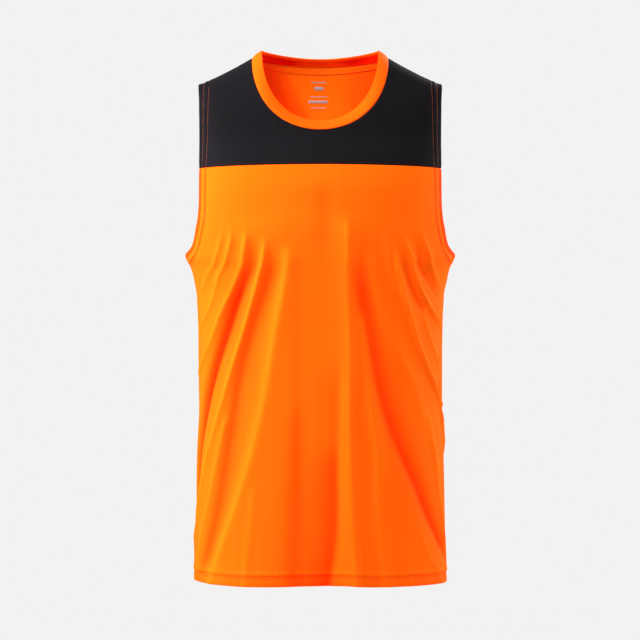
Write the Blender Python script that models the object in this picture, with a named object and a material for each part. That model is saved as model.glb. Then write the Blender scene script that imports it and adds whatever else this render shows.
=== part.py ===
# Sleeveless volleyball jersey, filled out as if it were worn, hollow, and open at the neck,
# the armholes and the hem. Metres, +Z up: the front faces -Y and the wearer's left is at +X.
# The origin lies midway between the two high shoulder points, where the wearer holds it up.

import math

import bpy
import numpy as np

MM = 0.001

# The cut, in millimetres; heights are measured from the high shoulder points.
HEM_HEIGHT = -730.0
UNDERARM_HEIGHT = -284.0
YOKE_HEIGHT = -164.0
SHOULDER_TIP = 167.0
NECK_HALF_WIDTH = 94.0
FRONT_NECK_HEIGHT = -116.0
BACK_NECK_HEIGHT = -17.0
NECK_SQUARENESS = 0.012
BACK_NECK_DIP = 3.0           # power of the cosine that the back neck dips by, seen from the front
TIP_SQUARENESS = 0.09         # how boxy the shoulder is at its tip; it is round at the neck

# Walls and edges, in millimetres.
WALL = 1.2
SEAM_GAP = 0.3
HEM_FOLD = 16.0
HEM_STEP = 0.8
ARMHOLE_FOLD = 13.0
ARMHOLE_FADE = 1.3            # folds' widths from the armhole at which its thicker wall has gone
TURNED_EDGE_EXTRA = 0.9
TOUCHING = 0.01               # distance below which a point counts as lying on a line

# Neckband: where its free edge runs, and its thickness, in millimetres.
BAND_HALF_WIDTH = 80.5
BAND_SIDE_HEIGHT = -0.5
BAND_FRONT_HEIGHT = -103.0
BAND_BACK_HEIGHT = -6.9
BAND_FRONT_LEAN = 9.6
BAND_BACK_LEAN = 13.0
BAND_THICKNESS = 2.0
BAND_CROWN = 0.8

# Section of the neckband, from the seam outside to the free edge and back inside: the share of
# its width, and the depth in heights of its crown and in thicknesses.
BAND_PROFILE = (
    (0.0, 0.0, 0.0),
    (0.45, 1.0, 0.0),
    (0.86, 0.12, 0.0),
    (1.0, 0.0, -0.35),
    (0.97, 0.0, -0.8),
    (0.82, -0.12, -1.0),
    (0.45, 1.0, -1.0),
    (0.0, 0.0, -1.0),
)

# Tape over the back neck seam, in millimetres.
TAPE_INSET = 1.8
TAPE_WIDTH = 10.0
TAPE_THICKNESS = 1.0
TAPE_GAP = 0.4

# How many faces each stretch is divided into.
YOKE_ROWS = 7
SIDE_ROWS = 19
LOW_ARMHOLE_ROWS = 9
HIGH_ARMHOLE_ROWS = 7
SHOULDER_COLUMNS = 7
FRONT_NECK_COLUMNS = 26
BACK_NECK_COLUMNS = 22

# How finely lines are sampled when they are measured, and angles are solved.
LINE_SAMPLES = 600
EDGE_SAMPLES = 200
NEWTON_STEPS = 12
SMALL_TURN = 0.002
SMALL_RISE = 0.2
SMALL_ANGLE = 1e-6

# Colours and roughness of the cloths.
ORANGE = (1.0, 0.16, 0.006)
BLACK = (0.014, 0.014, 0.017)
BAND_ORANGE = (1.0, 0.18, 0.008)
TAPE_ORANGE = (1.0, 0.15, 0.006)
ORANGE_ROUGHNESS = 0.5
BLACK_ROUGHNESS = 0.55
TAPE_ROUGHNESS = 0.6

# Sections of the filled form. The height is measured along the cloth, so above the yoke seam
# it runs on over the shoulder. Millimetres, and a share for how squared off a section is.
SECTION_COLUMNS = ("height", "half_width", "front_depth", "back_depth", "squareness")
SECTIONS = (
    (-730.0, 174.5, 113.0, 119.0, 0.030),
    (-640.0, 172.5, 114.0, 120.0, 0.030),
    (-560.0, 170.5, 115.0, 116.0, 0.030),
    (-480.0, 167.0, 115.0, 110.0, 0.030),
    (-400.0, 167.0, 115.0, 106.0, 0.030),
    (-339.0, 168.8, 117.0, 107.0, 0.028),
    (-313.0, 174.6, 118.0, 108.5, 0.024),
    (-300.0, 179.0, 119.0, 109.5, 0.022),
    (-284.0, 186.1, 119.8, 111.0, 0.020),
    (-250.0, 187.0, 121.0, 113.5, 0.022),
    (-200.0, 180.5, 118.0, 115.0, 0.036),
    (-164.0, 180.0, 108.0, 113.0, 0.045),
    (-116.0, 180.0, 87.0, 107.0, 0.055),
    (-60.0, 180.0, 85.0, 98.0, 0.060),
    (0.0, 180.0, 82.0, 93.0, 0.060),
    (150.0, 180.0, 74.0, 74.0, 0.060),
)

# Top of the shoulders: the height of the shoulder seam at each distance from the middle.
RIDGE_COLUMNS = ("x", "height")
RIDGE = (
    (0.0, 40.0),
    (50.0, 17.5),
    (94.0, -11.6),
    (122.0, -27.4),
    (150.0, -41.4),
    (167.0, -48.0),
    (190.0, -50.0),
)

# Edge of the armhole seen from the front, from the underarm point to the shoulder tip.
ARMHOLE_COLUMNS = ("height", "x")
ARMHOLE = (
    (-284.0, 186.1),
    (-277.4, 179.6),
    (-272.0, 175.2),
    (-263.0, 172.0),
    (-247.0, 169.0),
    (-233.0, 166.3),
    (-207.0, 164.8),
    (-140.0, 164.6),
    (-76.0, 165.4),
    (-48.0, 167.0),
)

# Folds of the hanging cloth. Turns are degrees round the body from the centre front, towards
# the wearer's left when positive, so 180 is the centre back; the bow moves the middle of a
# fold round by that many degrees. A swell above nought is a ridge, below nought a trough.
# A fold whose low height lies under the hem runs off the cloth there. Millimetres.
FOLD_COLUMNS = ("top_turn", "top_height", "low_turn", "low_height", "bow", "half_width", "swell")
FOLDS = (
    # Front, from the wearer's right underarm to the middle.
    (-42.0, -230.0, -78.0, -370.0, 3.0, 7.0, 2.0),
    (-36.0, -240.0, -78.0, -400.0, 4.0, 7.5, 2.2),
    (-30.0, -240.0, -80.0, -470.0, 7.0, 8.5, 2.8),
    (-24.0, -240.0, -76.0, -540.0, 2.0, 10.0, -6.0),
    (-21.0, -245.0, -80.0, -640.0, 4.0, 10.0, 4.4),
    (-17.0, -255.0, -56.0, -690.0, -1.0, 13.0, -3.8),
    (-12.0, -245.0, -56.0, -760.0, 5.0, 14.0, 4.0),
    (-52.0, -520.0, -74.0, -700.0, 2.0, 8.0, 2.6),
    (-10.0, -290.0, -9.0, -900.0, 0.0, 20.0, -2.0),
    # Front, from the middle to the wearer's left underarm.
    (4.0, -460.0, 3.0, -850.0, 0.0, 9.0, -3.6),
    (9.0, -190.0, 11.0, -920.0, 0.0, 9.0, 3.4),
    (15.0, -340.0, 27.0, -880.0, 0.0, 9.0, 1.6),
    (14.0, -240.0, 62.0, -700.0, -10.0, 11.0, -5.2),
    (19.0, -270.0, 62.0, -590.0, -3.0, 10.0, 3.0),
    (26.0, -290.0, 66.0, -520.0, -4.0, 8.5, -3.0),
    (31.0, -250.0, 82.0, -520.0, -8.0, 7.5, 2.6),
    (42.0, -260.0, 84.0, -380.0, -3.0, 7.5, 2.0),
    (56.0, -540.0, 80.0, -690.0, 0.0, 8.0, 2.2),
    # Sides, below the underarms.
    (86.0, -300.0, 98.0, -560.0, 3.0, 12.0, 3.6),
    (74.0, -400.0, 88.0, -700.0, 2.0, 11.0, -3.2),
    (-88.0, -310.0, -102.0, -600.0, -2.0, 12.0, 3.4),
    (-103.0, -470.0, -100.0, -840.0, 0.0, 13.0, -3.0),
    # Back, from the wearer's left to the wearer's right.
    (122.0, -250.0, 104.0, -520.0, 3.0, 10.0, -4.4),
    (130.0, -240.0, 112.0, -660.0, 4.0, 11.0, 4.2),
    (141.0, -280.0, 122.0, -800.0, 2.0, 13.0, -4.2),
    (150.0, -250.0, 138.0, -880.0, 2.0, 13.0, 4.0),
    (163.0, -360.0, 157.0, -860.0, 0.0, 15.0, -3.2),
    (177.0, -300.0, 174.0, -900.0, 0.0, 14.0, 3.2),
    (190.0, -390.0, 194.0, -880.0, 0.0, 12.0, -3.8),
    (203.0, -260.0, 212.0, -860.0, -3.0, 13.0, 4.2),
    (214.0, -270.0, 236.0, -720.0, -4.0, 12.0, -4.8),
    (224.0, -240.0, 250.0, -600.0, -4.0, 9.5, 3.6),
    (237.0, -260.0, 258.0, -470.0, -3.0, 9.0, -3.2),
)
FOLD_FADE = 0.22
MM_PER_DEGREE = 2.9


def table(rows, names):
    """Columns of a table by name, as arrays."""
    values = np.array(rows, dtype=float)
    return {name: values[:, column] for column, name in enumerate(names)}


def curve(places, values, at):
    """Smooth curve through the rows of a table, without overshoot, level at both ends."""
    secants = np.diff(values) / np.diff(places)
    before, after = secants[:-1], secants[1:]
    agree = before * after > 0.0
    total = np.where(agree, before + after, 1.0)
    slopes = np.zeros(len(values))
    slopes[1:-1] = np.where(agree, 2.0 * before * after / total, 0.0)
    at = np.clip(at, places[0], places[-1])
    cell = np.clip(np.searchsorted(places, at, side="right") - 1, 0, len(places) - 2)
    span = places[cell + 1] - places[cell]
    share = (at - places[cell]) / span
    rest = 1.0 - share
    low = values[cell] * (1.0 + 2.0 * share) + slopes[cell] * span * share
    high = values[cell + 1] * (1.0 + 2.0 * rest) - slopes[cell + 1] * span * rest
    return low * rest ** 2 + high * share ** 2


def squared_sine(angle, squareness):
    """Sine of an angle, drawn out so that an ellipse made of it is squared off."""
    return (np.sin(angle) + squareness * np.sin(3.0 * angle)) / (1.0 - squareness)


def squared_cosine(angle, squareness):
    """Cosine that belongs to squared_sine."""
    return (np.cos(angle) - squareness * np.cos(3.0 * angle)) / (1.0 - squareness)


def squared_arcsine(ratio, squareness):
    """Angle whose squared sine is the ratio, by Newton's steps on its plain sine."""
    target = np.clip(ratio, -1.0, 1.0) * (1.0 - squareness)
    sine = np.array(target, dtype=float)
    for _ in range(NEWTON_STEPS):
        value = sine * (1.0 + 3.0 * squareness) - 4.0 * squareness * sine ** 3
        slope = 1.0 + 3.0 * squareness - 12.0 * squareness * sine ** 2
        sine = np.clip(sine - (value - target) / slope, -1.0, 1.0)
    return np.arcsin(sine)


SECTION = table(SECTIONS, SECTION_COLUMNS)
RIDGES = table(RIDGE, RIDGE_COLUMNS)
ARMHOLES = table(ARMHOLE, ARMHOLE_COLUMNS)


def section(name, rise):
    """One size of the form at heights along the cloth."""
    return curve(SECTION["height"], SECTION[name], rise)


def ridge_height(x):
    """Height of the top of the shoulder above or below the high shoulder point."""
    return curve(RIDGES["x"], RIDGES["height"], np.abs(x))


def shoulder(x):
    """Climb from the yoke seam to the top of the shoulder, the cloth for each radian of its
    bend, and how squared off that bend is."""
    climb = ridge_height(x) - YOKE_HEIGHT
    squareness = TIP_SQUARENESS * np.abs(x / SHOULDER_TIP) ** 3
    return climb, climb * (1.0 + 3.0 * squareness) / (1.0 - squareness), squareness


def form(side, turn, rise):
    """Point of the smooth form: side -1 is the front and 1 the back, turn is the angle from
    its centre line and rise the height along the cloth."""
    squareness = section("squareness", rise)
    depth = section("front_depth" if side < 0 else "back_depth", rise)
    x = section("half_width", rise) * squared_sine(turn, squareness)
    y = side * depth * squared_cosine(turn, squareness)
    climb, stretch, boxiness = shoulder(x)
    bend = np.maximum(rise - YOKE_HEIGHT, 0.0) / stretch
    z = np.where(rise > YOKE_HEIGHT, YOKE_HEIGHT + climb * squared_sine(bend, boxiness), rise)
    y = y * squared_cosine(bend, boxiness)
    return np.stack(np.broadcast_arrays(x, y, z), axis=-1)


def locate(x, z):
    """Turn and rise of the point of the form that is seen at x and z."""
    climb, stretch, boxiness = shoulder(x)
    bend = squared_arcsine((z - YOKE_HEIGHT) / climb, boxiness)
    rise = np.where(z > YOKE_HEIGHT, YOKE_HEIGHT + stretch * bend, z)
    turn = squared_arcsine(x / section("half_width", rise), section("squareness", rise))
    return turn, rise


def swell(side, turn, rise):
    """How far the folds lift the cloth off the smooth form."""
    degrees = np.degrees(turn)
    if side > 0:
        degrees = np.where(degrees > 0.0, 180.0 - degrees, -180.0 - degrees)
    lift = np.zeros(np.broadcast(turn, rise).shape)
    for row in FOLDS:
        fold = dict(zip(FOLD_COLUMNS, row))
        length = fold["low_height"] - fold["top_height"]
        share = (rise - fold["top_height"]) / length
        track = fold["top_turn"] + (fold["low_turn"] - fold["top_turn"]) * share
        track = track + 4.0 * fold["bow"] * share * (1.0 - share)
        away = (degrees - track + 180.0) % 360.0 - 180.0
        near_end = np.clip(np.minimum(share, 1.0 - share) / FOLD_FADE, 0.0, 1.0)
        weight = near_end * near_end * (3.0 - 2.0 * near_end)
        lift = lift + fold["swell"] * weight * np.exp(-(away * MM_PER_DEGREE / fold["half_width"]) ** 2)
    return lift


def outward(surface, side, turn, rise):
    """Unit normals of a surface of the jersey, pointing away from the wearer."""
    across = surface(side, turn + SMALL_TURN, rise) - surface(side, turn - SMALL_TURN, rise)
    along = surface(side, turn, rise + SMALL_RISE) - surface(side, turn, rise - SMALL_RISE)
    normal = -side * np.cross(across, along)
    return normal / np.linalg.norm(normal, axis=-1, keepdims=True)


def cloth(side, turn, rise):
    """Point of the outer face of the cloth, with its folds."""
    lift = swell(side, turn, rise)[..., None]
    return form(side, turn, rise) + lift * outward(form, side, turn, rise)


def even_steps(path, side, start, stop, count):
    """Places along a path that divide it into a number of equal stretches."""
    dense = np.linspace(start, stop, LINE_SAMPLES)
    points = form(side, *path(dense))
    strides = np.linalg.norm(np.diff(points, axis=0), axis=1)
    length = np.concatenate(([0.0], np.cumsum(strides)))
    return np.interp(np.linspace(0.0, length[-1], count + 1), length, dense)


def armhole_path(place):
    """Edge of the armhole on the +X side, from the underarm at 0 to the shoulder tip at 1."""
    low, high = ARMHOLES["height"][0], ARMHOLES["height"][-1]
    z = (low + high) / 2.0 - (high - low) / 2.0 * np.cos(math.pi * place)
    return locate(curve(ARMHOLES["height"], ARMHOLES["x"], z), z)


def armhole_place(z):
    """Place along the armhole that lies at a height."""
    low, high = ARMHOLES["height"][0], ARMHOLES["height"][-1]
    return math.acos((low + high - 2.0 * z) / (high - low)) / math.pi


def shoulder_path(x):
    """Shoulder seam, along the top of the form."""
    rise = YOKE_HEIGHT + shoulder(x)[1] * math.pi / 2.0
    turn = squared_arcsine(x / section("half_width", rise), section("squareness", rise))
    return turn, rise


def neck_round(side, angle, half_width, side_height, centre_height):
    """Half of a line round the neck seen from the front, deep at the front and shallow behind."""
    dip = np.clip(squared_cosine(angle, NECK_SQUARENESS), 0.0, 1.0)
    if side > 0:
        dip = dip ** BACK_NECK_DIP
    x = half_width * squared_sine(angle, NECK_SQUARENESS)
    return x, side_height + (centre_height - side_height) * dip


def neck_point(side, angle):
    """Point of the neck seam seen from the front."""
    centre_height = FRONT_NECK_HEIGHT if side < 0 else BACK_NECK_HEIGHT
    return neck_round(side, angle, NECK_HALF_WIDTH, ridge_height(NECK_HALF_WIDTH), centre_height)


def neck_path(side):
    """Neck seam of the front or the back, from -X at minus a quarter turn to +X."""
    return lambda angle: locate(*neck_point(side, angle))


def neck_angles(side, columns):
    """Angles of the neck seam's even divisions."""
    quarter = math.pi / 2.0 - SMALL_ANGLE
    angles = even_steps(neck_path(side), side, -quarter, quarter, columns)
    angles[0], angles[-1] = -math.pi / 2.0, math.pi / 2.0
    return angles


def top_edge(side, neck_columns):
    """Shoulder seam, neck seam and shoulder seam, from -X to +X."""
    outer = even_steps(shoulder_path, side, SHOULDER_TIP, NECK_HALF_WIDTH, SHOULDER_COLUMNS)
    turn, rise = shoulder_path(outer)
    neck_turn, neck_rise = locate(*neck_point(side, neck_angles(side, neck_columns)))
    turns = np.concatenate((-turn[:-1], [-turn[-1]], neck_turn[1:-1], [turn[-1]], turn[-2::-1]))
    rises = np.concatenate((rise[:-1], [rise[-1]], neck_rise[1:-1], [rise[-1]], rise[-2::-1]))
    return turns, rises


def level_edge(side, height, half_turn, columns):
    """Level edge across the front or the back, evenly divided."""
    def path(turn):
        return turn, np.full(np.shape(turn), height)
    return path(even_steps(path, side, -half_turn, half_turn, columns))


def side_edge(low_place, high_place, rows, with_side_seam):
    """Side seam from the hem up, where a panel has one, and the armhole above it."""
    turn, rise = armhole_path(even_steps(armhole_path, -1, low_place, high_place, rows))
    if with_side_seam:
        hem_top = HEM_HEIGHT + HEM_FOLD
        seam = np.linspace(hem_top + HEM_STEP, UNDERARM_HEIGHT, SIDE_ROWS + 1)
        seam = np.concatenate(([HEM_HEIGHT, hem_top], seam))
        turn = np.concatenate((np.full(len(seam), math.pi / 2.0), turn[1:]))
        rise = np.concatenate((seam, rise[1:]))
    return turn, rise


def panel_grid(bottom, top, edge):
    """Turns and rises of a panel's points: rows from the bottom edge to the top edge, drawn
    towards the side edges near them."""
    edge_turn, edge_rise = edge
    points = form(-1, edge_turn, edge_rise)
    strides = np.linalg.norm(np.diff(points, axis=0), axis=1)
    climb = np.concatenate(([0.0], np.cumsum(strides))) / strides.sum()
    climb = climb[:, None]
    across = np.linspace(0.0, 1.0, len(bottom[0]))[None, :]
    turn = bottom[0][None, :] * (1.0 - climb) + top[0][None, :] * climb
    rise = bottom[1][None, :] * (1.0 - climb) + top[1][None, :] * climb
    near_left, near_right = (1.0 - across) ** 3, across ** 3
    turn = turn + (-edge_turn[:, None] - turn[:, :1]) * near_left
    turn = turn + (edge_turn[:, None] - turn[:, -1:]) * near_right
    rise = rise + (edge_rise[:, None] - rise[:, :1]) * near_left
    rise = rise + (edge_rise[:, None] - rise[:, -1:]) * near_right
    return turn, rise


def turned_edge(side, outer, rise):
    """Extra wall where the hem and the armhole edges are folded under."""
    edge = form(side, *armhole_path(np.linspace(0.0, 1.0, EDGE_SAMPLES)))
    mirrored = np.abs(outer[..., None, 0])
    gap = np.stack((mirrored, outer[..., None, 1], outer[..., None, 2]), axis=-1) - edge
    near_armhole = np.linalg.norm(gap, axis=-1).min(axis=-1) / ARMHOLE_FOLD
    near_armhole = np.clip(ARMHOLE_FADE - near_armhole, 0.0, 1.0)
    near_hem = (rise <= HEM_HEIGHT + HEM_FOLD + TOUCHING).astype(float)
    return TURNED_EDGE_EXTRA * np.maximum(near_armhole, near_hem)


def part_at_seams(side, points, normals):
    """Move a panel's points off the plane of the side and shoulder seams by half the gap, and
    keep its wall square to that plane there."""
    on_seam = np.abs(points[..., 1]) < TOUCHING
    points[..., 1] = np.where(on_seam, side * SEAM_GAP / 2.0, points[..., 1])
    normals[..., 1] = np.where(on_seam, 0.0, normals[..., 1])
    return points, normals / np.linalg.norm(normals, axis=-1, keepdims=True)


def panel_faces(side, turn, rise):
    """Outer and inner face of a panel's wall."""
    outer = cloth(side, turn, rise)
    normals = outward(cloth, side, turn, rise)
    outer, normals = part_at_seams(side, outer, normals)
    wall = WALL + turned_edge(side, outer, rise)
    return outer, outer - normals * wall[..., None]


def wall_triangles(outer, side):
    """Triangles of a closed wall: outer grid, inner grid and the rim that joins them."""
    rows, columns = outer.shape[:2]
    index = np.arange(rows * columns).reshape(rows, columns)
    inner = rows * columns
    triangles = []
    for row in range(rows - 1):
        for column in range(columns - 1):
            a, b = index[row, column], index[row, column + 1]
            d, c = index[row + 1, column], index[row + 1, column + 1]
            rising = np.linalg.norm(outer[row + 1, column + 1] - outer[row, column])
            falling = np.linalg.norm(outer[row + 1, column] - outer[row, column + 1])
            pair = ((a, b, c), (a, c, d)) if rising <= falling else ((a, b, d), (b, c, d))
            for corner in pair:
                triangles.append(corner)
                triangles.append(tuple(inner + place for place in reversed(corner)))
    rim = list(index[0, :-1]) + list(index[:-1, -1]) + list(index[-1, :0:-1]) + list(index[:0:-1, 0])
    for place, near in enumerate(rim):
        far = rim[(place + 1) % len(rim)]
        triangles.append((far, near, inner + near))
        triangles.append((far, inner + near, inner + far))
    if side > 0:
        triangles = [tuple(reversed(corner)) for corner in triangles]
    return triangles


def fabric(name, colour, roughness):
    """Plain material of a cloth piece."""
    material = bpy.data.materials.new(name)
    material.use_nodes = True
    shader = material.node_tree.nodes["Principled BSDF"]
    shader.inputs["Base Color"].default_value = (*colour, 1.0)
    shader.inputs["Roughness"].default_value = roughness
    shader.inputs["Metallic"].default_value = 0.0
    material.diffuse_color = (*colour, 1.0)
    return material


def add_piece(name, points, triangles, material):
    """One named cloth piece from points in millimetres."""
    mesh = bpy.data.meshes.new(name)
    mesh.from_pydata((points * MM).tolist(), [], [tuple(map(int, corner)) for corner in triangles])
    mesh.materials.append(material)
    mesh.shade_smooth()
    mesh.update()
    piece = bpy.data.objects.new(name, mesh)
    bpy.context.collection.objects.link(piece)
    return piece


def add_wall(name, side, outer, inner, material):
    """Closed wall from its outer and inner face."""
    points = np.concatenate((outer.reshape(-1, 3), inner.reshape(-1, 3)))
    return add_piece(name, points, wall_triangles(outer, side), material)


def front_body():
    """Front from the hem to the yoke seam."""
    columns = 2 * SHOULDER_COLUMNS + FRONT_NECK_COLUMNS
    seam_height = YOKE_HEIGHT - SEAM_GAP / 2.0
    edge = side_edge(0.0, armhole_place(seam_height), LOW_ARMHOLE_ROWS, True)
    bottom = level_edge(-1, HEM_HEIGHT, math.pi / 2.0, columns)
    top = level_edge(-1, seam_height, edge[0][-1], columns)
    outer, inner = panel_faces(-1, *panel_grid(bottom, top, edge))
    add_wall("front_body", -1, outer, inner, fabric("orange front cloth", ORANGE, ORANGE_ROUGHNESS))


def front_yoke():
    """Yoke across the chest, from its seam to the shoulders and the neck."""
    columns = 2 * SHOULDER_COLUMNS + FRONT_NECK_COLUMNS
    seam_height = YOKE_HEIGHT + SEAM_GAP / 2.0
    edge = side_edge(armhole_place(seam_height), 1.0, YOKE_ROWS, False)
    bottom = level_edge(-1, seam_height, edge[0][0], columns)
    top = top_edge(-1, FRONT_NECK_COLUMNS)
    outer, inner = panel_faces(-1, *panel_grid(bottom, top, edge))
    add_wall("front_yoke", -1, outer, inner, fabric("black yoke cloth", BLACK, BLACK_ROUGHNESS))


def back_panel():
    """Back in one piece, from the hem to the shoulders and the neck; gives its two faces."""
    columns = 2 * SHOULDER_COLUMNS + BACK_NECK_COLUMNS
    rows = LOW_ARMHOLE_ROWS + HIGH_ARMHOLE_ROWS
    edge = side_edge(0.0, 1.0, rows, True)
    bottom = level_edge(1, HEM_HEIGHT, math.pi / 2.0, columns)
    top = top_edge(1, BACK_NECK_COLUMNS)
    outer, inner = panel_faces(1, *panel_grid(bottom, top, edge))
    add_wall("back_panel", 1, outer, inner, fabric("orange back cloth", ORANGE, ORANGE_ROUGHNESS))
    return outer, inner


def neckband():
    """Doubled band round the neck, standing up from the neck seam."""
    seam, free, panel_normal = [], [], []
    for side, columns in ((-1, FRONT_NECK_COLUMNS), (1, BACK_NECK_COLUMNS)):
        angle = neck_angles(side, columns)[:-1] * -side
        turn, rise = locate(*neck_point(side, angle))
        points = form(side, turn, rise)
        normals = outward(form, side, turn, rise)
        normals[0, 1] = 0.0
        centre_height, lean = BAND_FRONT_HEIGHT, BAND_FRONT_LEAN
        if side > 0:
            centre_height, lean = BAND_BACK_HEIGHT, BAND_BACK_LEAN
        x, z = neck_round(side, angle, BAND_HALF_WIDTH, BAND_SIDE_HEIGHT, centre_height)
        y = points[:, 1] - side * lean * np.cos(angle)
        seam.append(points)
        free.append(np.stack((x, y, z), axis=-1))
        panel_normal.append(normals)
    seam, free = np.concatenate(seam), np.concatenate(free)
    panel_normal = np.concatenate(panel_normal)
    width = free - seam
    tangent = np.roll(seam, -1, axis=0) - np.roll(seam, 1, axis=0)
    band_normal = np.cross(tangent, width)
    band_normal /= np.linalg.norm(band_normal, axis=1, keepdims=True)
    reach = np.linalg.norm(width, axis=1, keepdims=True)
    rings = []
    for share, crowns, thicknesses in BAND_PROFILE:
        share = np.maximum(share, SEAM_GAP / reach)
        normal = panel_normal * (1.0 - share) + band_normal * share
        normal /= np.linalg.norm(normal, axis=1, keepdims=True)
        depth = crowns * BAND_CROWN + thicknesses * BAND_THICKNESS
        rings.append(seam + width * share + normal * depth)
    points = np.stack(rings, axis=1)
    stations, corners = points.shape[:2]
    triangles = []
    for station in range(stations):
        for corner in range(corners):
            a = station * corners + corner
            b = (station + 1) % stations * corners + corner
            c = (station + 1) % stations * corners + (corner + 1) % corners
            d = station * corners + (corner + 1) % corners
            triangles += [(a, b, c), (a, c, d)]
    material = fabric("orange neckband", BAND_ORANGE, ORANGE_ROUGHNESS)
    add_piece("neckband", points.reshape(-1, 3), triangles, material)


def neck_tape(back):
    """Tape inside the back neck, laid along the top faces of the back's inner side."""
    columns = slice(SHOULDER_COLUMNS, SHOULDER_COLUMNS + BACK_NECK_COLUMNS + 1)
    outer_face, inner_face = (face[-2:, columns] for face in back)
    normals = outer_face - inner_face
    normals = normals / np.linalg.norm(normals, axis=-1, keepdims=True)
    drop = np.linalg.norm(inner_face[0] - inner_face[1], axis=-1)
    points, facing = [], []
    for distance in (TAPE_INSET + TAPE_WIDTH, TAPE_INSET):
        share = (distance / drop)[:, None]
        points.append(inner_face[1] * (1.0 - share) + inner_face[0] * share)
        facing.append(normals[1] * (1.0 - share) + normals[0] * share)
    points, facing = np.array(points), np.array(facing)
    outer, inner = points - facing * TAPE_GAP, points - facing * (TAPE_GAP + TAPE_THICKNESS)
    add_wall("neck_tape", 1, outer, inner, fabric("orange neck tape", TAPE_ORANGE, TAPE_ROUGHNESS))


def main():
    for leftover in list(bpy.data.objects):
        bpy.data.objects.remove(leftover, do_unlink=True)
    front_body()
    front_yoke()
    back = back_panel()
    neckband()
    neck_tape(back)


main()
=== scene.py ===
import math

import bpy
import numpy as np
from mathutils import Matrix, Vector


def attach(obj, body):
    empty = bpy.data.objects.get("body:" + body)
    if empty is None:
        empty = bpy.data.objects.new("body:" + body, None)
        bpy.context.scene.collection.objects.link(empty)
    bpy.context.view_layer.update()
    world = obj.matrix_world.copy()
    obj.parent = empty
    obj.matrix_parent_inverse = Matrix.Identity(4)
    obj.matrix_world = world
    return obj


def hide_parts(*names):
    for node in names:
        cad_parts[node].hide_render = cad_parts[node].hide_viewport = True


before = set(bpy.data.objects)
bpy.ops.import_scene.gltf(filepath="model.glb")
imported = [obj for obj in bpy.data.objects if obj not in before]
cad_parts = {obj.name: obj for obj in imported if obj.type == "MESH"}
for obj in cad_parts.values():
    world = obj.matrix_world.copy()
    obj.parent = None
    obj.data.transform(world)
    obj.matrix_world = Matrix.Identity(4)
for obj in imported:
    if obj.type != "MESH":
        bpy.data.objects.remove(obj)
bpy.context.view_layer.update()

# Looks of a sleeveless volleyball jersey that is filled out as if worn. Sizes are in millimetres until
# a mesh is made. The front faces -Y, the wearer's left is at +X and the high shoulder points are at
# height 0. A place on the cloth is a side (-1 front, 1 back), a turn (the angle from that side's centre
# line) and a rise (the height along the cloth, which runs on over the shoulder).

bodyShape = {
    # height, half width, front depth, back depth, squareness
    "sections": (
        (-730, 174.5, 113.0, 119.0, 0.030), (-640, 172.5, 114.0, 120.0, 0.030),
        (-560, 170.5, 115.0, 116.0, 0.030), (-480, 167.0, 115.0, 110.0, 0.030),
        (-400, 167.0, 115.0, 106.0, 0.030), (-339, 168.8, 117.0, 107.0, 0.028),
        (-313, 174.6, 118.0, 108.5, 0.024), (-300, 179.0, 119.0, 109.5, 0.022),
        (-284, 186.1, 119.8, 111.0, 0.020), (-250, 187.0, 121.0, 113.5, 0.022),
        (-200, 180.5, 118.0, 115.0, 0.036), (-164, 180.0, 108.0, 113.0, 0.045),
        (-116, 180.0, 87.0, 107.0, 0.055), (-60, 180.0, 85.0, 98.0, 0.060),
        (0, 180.0, 82.0, 93.0, 0.060), (150, 180.0, 74.0, 74.0, 0.060)),
    # distance from the middle, height of the shoulder seam
    "ridge": ((0, 40.0), (50, 17.5), (94, -11.6), (122, -27.4), (150, -41.4), (167, -48.0), (190, -50.0)),
    # height, distance from the middle of the armhole's edge seen from the front
    "armhole": ((-284, 186.1), (-277.4, 179.6), (-272, 175.2), (-263, 172.0), (-247, 169.0),
                (-233, 166.3), (-207, 164.8), (-140, 164.6), (-76, 165.4), (-48, 167.0)),
    "hem": -730.0,
    "underarm": -284.0,
    "yoke": -164.0,
    "shoulderTip": 167.0,
    "tipSquareness": 0.09,
    "neckHalfWidth": 94.0,
    "frontNeck": -116.0,
    "backNeck": -17.0,
    "neckSquareness": 0.012,
    "backNeckDip": 3.0,
    "seamGap": 0.3,
}
sections = np.array(bodyShape["sections"], dtype=float)
ridge = np.array(bodyShape["ridge"], dtype=float)
armhole = np.array(bodyShape["armhole"], dtype=float)
yokeHeight = bodyShape["yoke"]
quarterTurn = math.pi / 2.0
neckEnd = quarterTurn - 1e-6     # just short of the shoulder seam


# Cubic through the points. The slope at each is the harmonic mean of the slopes beside it and level at
# the ends, or for a flowing curve their mean by distance.
def smoothCurve(places, values, at, flowing=False):
    places, values = np.asarray(places, float), np.asarray(values, float)
    secants = np.diff(values) / np.diff(places)
    before, after = secants[:-1], secants[1:]
    agree = before * after > 0.0
    slopes = np.zeros(len(values))
    slopes[1:-1] = np.where(agree, 2.0 * before * after / np.where(agree, before + after, 1.0), 0.0)
    if flowing:
        slopes = np.gradient(values, places)
    at = np.clip(at, places[0], places[-1])
    cell = np.clip(np.searchsorted(places, at, side="right") - 1, 0, len(places) - 2)
    span = places[cell + 1] - places[cell]
    share = (at - places[cell]) / span
    rest = 1.0 - share
    low = values[cell] * (1.0 + 2.0 * share) + slopes[cell] * span * share
    high = values[cell + 1] * (1.0 + 2.0 * rest) - slopes[cell + 1] * span * rest
    return low * rest ** 2 + high * share ** 2


# Smooth step from 0 to 1 as the share goes from 0 to 1.
def ease(share):
    share = np.clip(share, 0.0, 1.0)
    return share * share * (3.0 - 2.0 * share)


# Vectors scaled to a length of one.
def unit(vectors):
    return vectors / np.linalg.norm(vectors, axis=-1, keepdims=True)


# Sine plus a little of its third harmonic, which squares off an ellipse, and the cosine to match.
def squaredSine(angle, squareness):
    return (np.sin(angle) + squareness * np.sin(3.0 * angle)) / (1.0 - squareness)


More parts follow.
